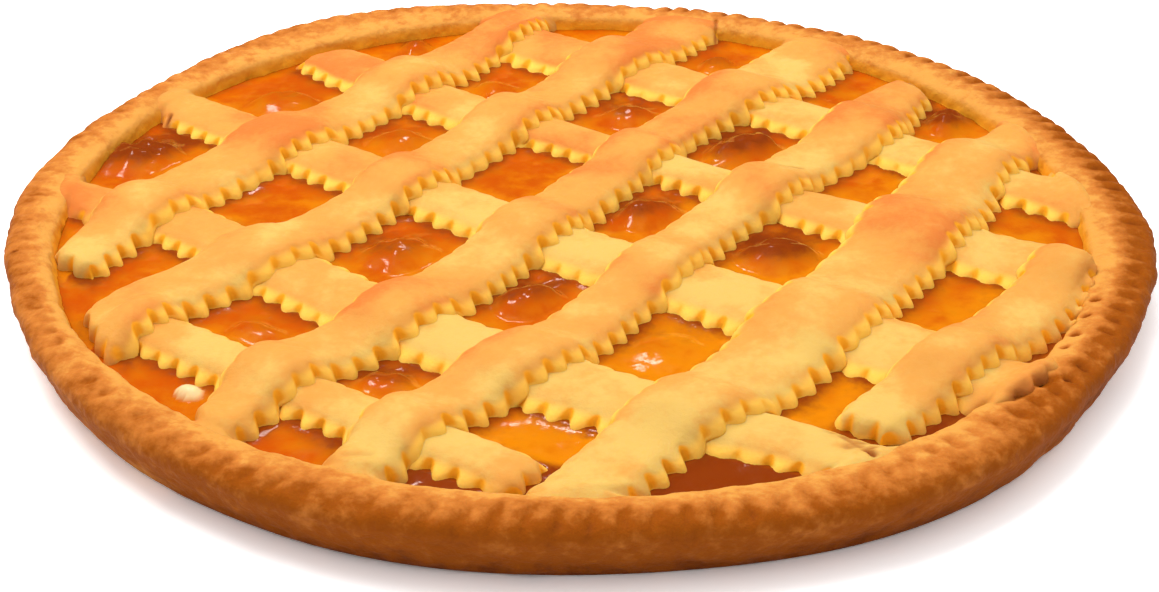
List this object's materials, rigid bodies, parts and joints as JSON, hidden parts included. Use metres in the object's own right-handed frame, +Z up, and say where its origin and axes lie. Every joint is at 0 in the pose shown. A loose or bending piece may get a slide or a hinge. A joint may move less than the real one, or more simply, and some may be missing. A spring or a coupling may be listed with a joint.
{
  "type": "jam crostata",
  "caption": "Round shallow shortcrust tart with a crimped rim, apricot jam and a diagonal lattice of pinked dough strips, served as a sweet pie.",
  "frame": {"origin": "centre of the tart's flat underside, on the surface that it rests on", "axes": "+Z up through the tart, -Y towards the side that faced the viewer, +X to the viewer's right; the upper strips run 55 degrees from +X towards +Y"},
  "size_m": [0.2826, 0.2794, 0.0195],
  "materials": {
    "crust": "matte, golden-brown baked shortcrust",
    "jam": "glossy, translucent apricot jam",
    "upper_dough": "satin, blushed golden dough",
    "lower_dough": "satin, pale golden dough"
  },
  "bodies": {
    "root": {"crust_shell": "crust", "jam_filling": "jam", "lattice_lower_1": "lower_dough", "lattice_lower_2": "lower_dough", "lattice_lower_3": "lower_dough", "lattice_lower_4": "lower_dough", "lattice_lower_5": "lower_dough", "lattice_upper_1": "upper_dough", "lattice_upper_2": "upper_dough", "lattice_upper_3": "upper_dough", "lattice_upper_4": "upper_dough", "lattice_upper_5": "upper_dough", "lattice_upper_6": "upper_dough"}
  },
  "joints": []
}
